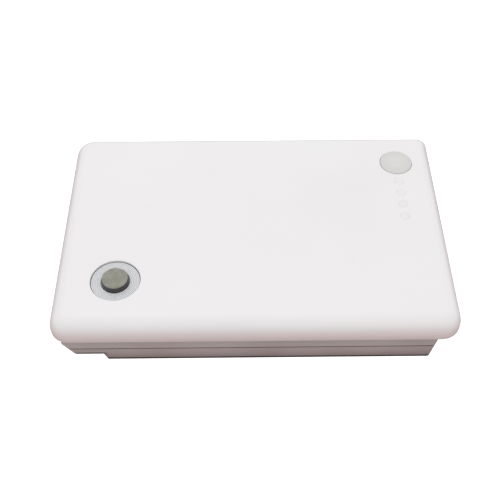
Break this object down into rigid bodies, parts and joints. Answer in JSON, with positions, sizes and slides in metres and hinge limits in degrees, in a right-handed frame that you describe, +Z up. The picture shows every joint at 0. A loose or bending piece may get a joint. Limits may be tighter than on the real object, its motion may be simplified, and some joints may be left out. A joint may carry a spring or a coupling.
{
  "type": "removable laptop battery pack",
  "caption": "Flat white removable laptop battery pack with an overhanging cover, a rubber foot, a sprung charge-check button and faint charge windows.",
  "frame": {"origin": "on the plane of the pack's underside, under the middle of the cover", "axes": "+X along the long side towards the charge-check button, +Y from the front edge by the foot to the back edge, +Z up out of the cover"},
  "size_m": [0.131, 0.087, 0.0219],
  "materials": {
    "adhesive": "double-sided adhesive",
    "board_green": "glass-epoxy circuit board with solder mask",
    "button_grey": "satin moulded plastic",
    "cell_sleeve": "shrink sleeve without print",
    "cell_steel": "nickel-plated steel can",
    "ceramic_dark": "ceramic component",
    "ceramic_tan": "ceramic component",
    "ceramic_white": "ceramic component",
    "connector_black": "glass-filled connector moulding",
    "contact_gold": "plated spring contact",
    "cover_white": "smooth satin-gloss moulded polycarbonate",
    "fish_paper": "insulating paper",
    "flex_amber": "polyimide film",
    "foam_black": "closed-cell foam strip",
    "foot_rubber": "matt moulded rubber",
    "frame_grey": "fine-textured moulded plastic",
    "label_white": "blank film label",
    "led_clear": "clear-lens light",
    "nickel": "nickel-plated strip",
    "part_black": "moulded component package",
    "ring_silver": "satin silver ring with fine concentric grooves",
    "tray_grey": "fine-textured moulded plastic",
    "window_white": "translucent white moulding",
    "wire_black": "insulated lead",
    "wire_red": "insulated lead"
  },
  "bodies": {
    "pack": {"board_capacitors": "ceramic_tan", "board_insulator": "fish_paper", "cell_can_1": "cell_steel", "cell_can_2": "cell_steel", "cell_can_3": "cell_steel", "cell_can_4": "cell_steel", "cell_can_5": "cell_steel", "cell_can_6": "cell_steel", "cell_cap_1": "nickel", "cell_cap_2": "nickel", "cell_cap_3": "nickel", "cell_cap_4": "nickel", "cell_cap_5": "nickel", "cell_cap_6": "nickel", "cell_washers": "fish_paper", "cell_wrap_1": "cell_sleeve", "cell_wrap_2": "cell_sleeve", "cell_wrap_3": "cell_sleeve", "cell_wrap_4": "cell_sleeve", "cell_wrap_5": "cell_sleeve", "cell_wrap_6": "cell_sleeve", "chemical_fuse": "ceramic_white", "connector_contacts": "contact_gold", "connector_housing": "connector_black", "foam_strips": "foam_black", "foot_adhesive": "adhesive", "foot_pad": "foot_rubber", "foot_ring": "ring_silver", "fuel_gauge_chip": "part_black", "gauge_board": "board_green", "gauge_flex": "flex_amber", "gauge_leads": "wire_black", "gauge_resistors": "ceramic_dark", "light_guide": "window_white", "lower_tray": "tray_grey", "mosfets": "part_black", "protection_board": "board_green", "protector_chip": "part_black", "rating_label": "label_white", "sense_lead": "wire_red", "sense_resistor": "ceramic_dark", "status_leds": "led_clear", "switch_body": "part_black", "tab_negative": "nickel", "tab_positive": "nickel", "tab_series_a": "nickel", "tab_series_b": "nickel", "thermal_cutoff": "nickel", "thermistor": "ceramic_dark", "top_cover": "cover_white", "upper_frame": "frame_grey"},
    "button": {"charge_button": "button_grey"},
    "plunger": {"switch_plunger": "part_black"}
  },
  "joints": [
    {"name": "button_press", "type": "slide", "parent": "pack", "child": "button", "axis": [0, 0, -1], "range_m": [0, 0.0005], "stiffness_N_per_m": 800},
    {"name": "plunger_press", "type": "slide", "parent": "pack", "child": "plunger", "axis": [0, 0, -1], "range_m": [0, 0.0008]}
  ],
  "couplings": [
    {"joint": "plunger_press", "follows": "button_press", "ratio": 1}
  ]
}
